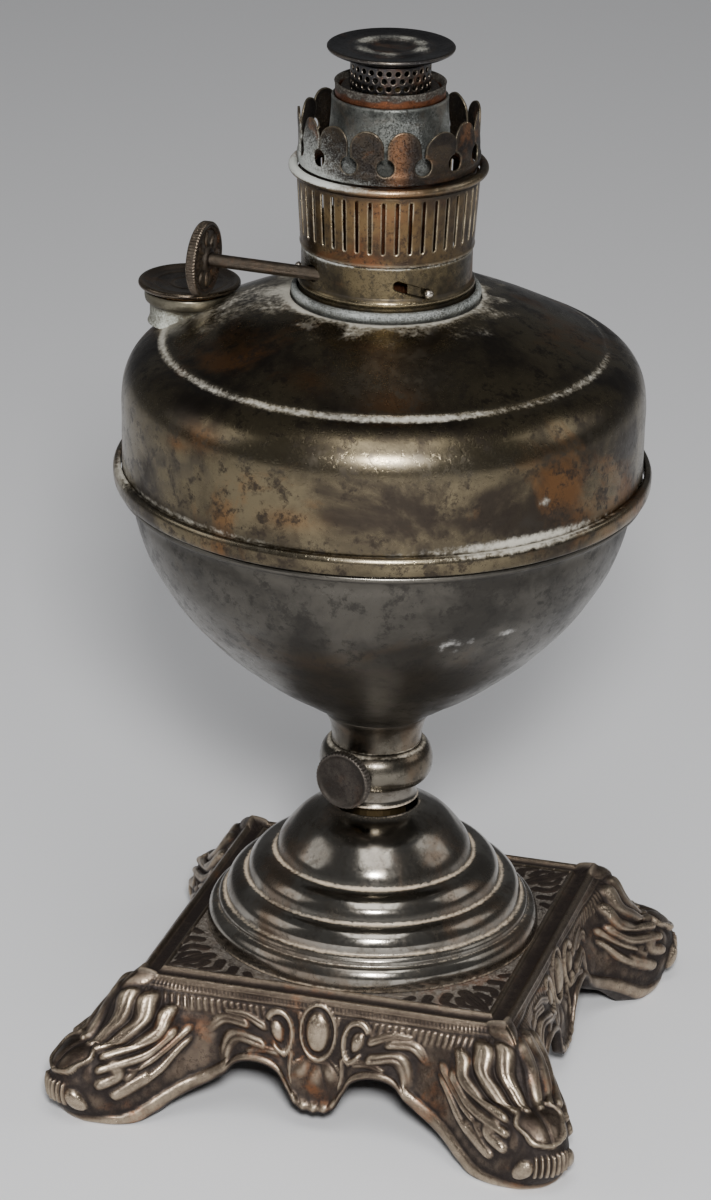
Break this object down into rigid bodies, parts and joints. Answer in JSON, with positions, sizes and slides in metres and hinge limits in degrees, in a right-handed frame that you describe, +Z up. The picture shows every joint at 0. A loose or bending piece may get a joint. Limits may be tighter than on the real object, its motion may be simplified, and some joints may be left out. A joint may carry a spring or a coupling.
{
  "type": "round-wick oil table lamp",
  "caption": "Nickel-plated brass kerosene table lamp: scrolled square base, stepped dome, oil font, round-wick burner with coronet and flame spreader.",
  "frame": {"origin": "middle of the four feet, on the surface that the lamp stands on", "axes": "+Z up along the lamp's axis; X and Y along the sides of the square base; the wick key and the filler are on the -X side"},
  "size_m": [0.1646, 0.1646, 0.3292],
  "materials": {
    "casting": "antiqued silvered casting, dark in the recesses",
    "nickel": "tarnished nickel plate over brass, mottled",
    "bright_nickel": "glossy nickel plate with light tarnish",
    "old_brass": "browned bare brass",
    "dark_brass": "dark bronze patina, glossy",
    "dark_steel": "heat-blued, sooted sheet steel",
    "zinc": "dull grey, pitted",
    "iron": "dark brown iron",
    "cotton": "woven cotton, charred at the top",
    "cork": "cork"
  },
  "bodies": {
    "root": {"base_casting": "casting", "base_nut": "old_brass", "base_washer": "old_brass", "tie_tube": "old_brass", "stem_bush": "old_brass", "stepped_dome": "bright_nickel", "dome_neck": "bright_nickel", "knop": "nickel", "knob_bush": "old_brass", "stem_neck": "nickel", "bowl": "nickel", "font_top": "nickel", "font_rim_band": "nickel", "filler_neck": "nickel", "draught_tube": "old_brass", "font_collar": "nickel", "wick_tube": "old_brass", "wick_sleeve": "zinc", "burner_plate": "old_brass", "burner_collar": "old_brass", "shaft_bracket": "old_brass", "rod_guide": "old_brass"},
    "wick_drive": {"wick_shaft": "iron", "wick_pinion": "old_brass", "wick_key": "iron"},
    "wick_lift": {"wick": "cotton", "wick_carrier": "old_brass"},
    "gallery": {"slotted_basket": "old_brass", "gallery_bead": "nickel", "chimney_ledge": "old_brass", "coronet": "nickel"},
    "cam_ring": {"lift_ring": "old_brass", "lift_pin_1": "old_brass", "lift_pin_2": "old_brass", "lift_pin_3": "old_brass"},
    "spreader": {"spreader_disc": "dark_steel", "spreader_thimble": "dark_steel", "spreader_rod": "iron", "spreader_rack": "old_brass"},
    "spreader_drive": {"spreader_knob": "iron", "spreader_shaft": "iron", "spreader_pinion": "old_brass"},
    "cap_seal": {"filler_washer": "cork"},
    "cap": {"filler_cap": "dark_brass"}
  },
  "joints": [
    {"name": "wick_key_turn", "type": "hinge", "parent": "root", "child": "wick_drive", "pos_m": [-0.00155, -0.02014, 0.2625], "axis": [0.9971, -0.0767, 0], "range_deg": [-191.5, 72]},
    {"name": "wick_raise", "type": "slide", "parent": "root", "child": "wick_lift", "axis": [0, 0, 1], "range_m": [-0.008, 0.003]},
    {"name": "spreader_knob_turn", "type": "hinge", "parent": "root", "child": "spreader_drive", "pos_m": [0, 0, 0.0993], "axis": [-0.2521, -0.9677, 0], "range_deg": [0, 191.5]},
    {"name": "spreader_raise", "type": "slide", "parent": "root", "child": "spreader", "axis": [0, 0, 1], "range_m": [0, 0.01]},
    {"name": "filler_cap_rise", "type": "slide", "parent": "root", "child": "cap_seal", "axis": [0, 0, 1], "range_m": [0, 0.004]},
    {"name": "filler_cap_turn", "type": "hinge", "parent": "cap_seal", "child": "cap", "pos_m": [-0.06301, 0.00341, 0.2478], "axis": [0, 0, 1], "range_deg": [0, 720.5]},
    {"name": "gallery_raise", "type": "slide", "parent": "root", "child": "gallery", "axis": [0, 0, 1], "range_m": [0, 0.003]},
    {"name": "lift_ring_turn", "type": "hinge", "parent": "gallery", "child": "cam_ring", "pos_m": [0, 0, 0.26], "axis": [0, 0, 1], "range_deg": [-18.3, 0]}
  ],
  "couplings": [
    {"joint": "wick_key_turn", "follows": "wick_raise", "rad_per_m": 416.67},
    {"joint": "spreader_knob_turn", "follows": "spreader_raise", "rad_per_m": 333.33},
    {"joint": "filler_cap_turn", "follows": "filler_cap_rise", "rad_per_m": 3141.6},
    {"joint": "lift_ring_turn", "follows": "gallery_raise", "rad_per_m": -105.88}
  ]
}
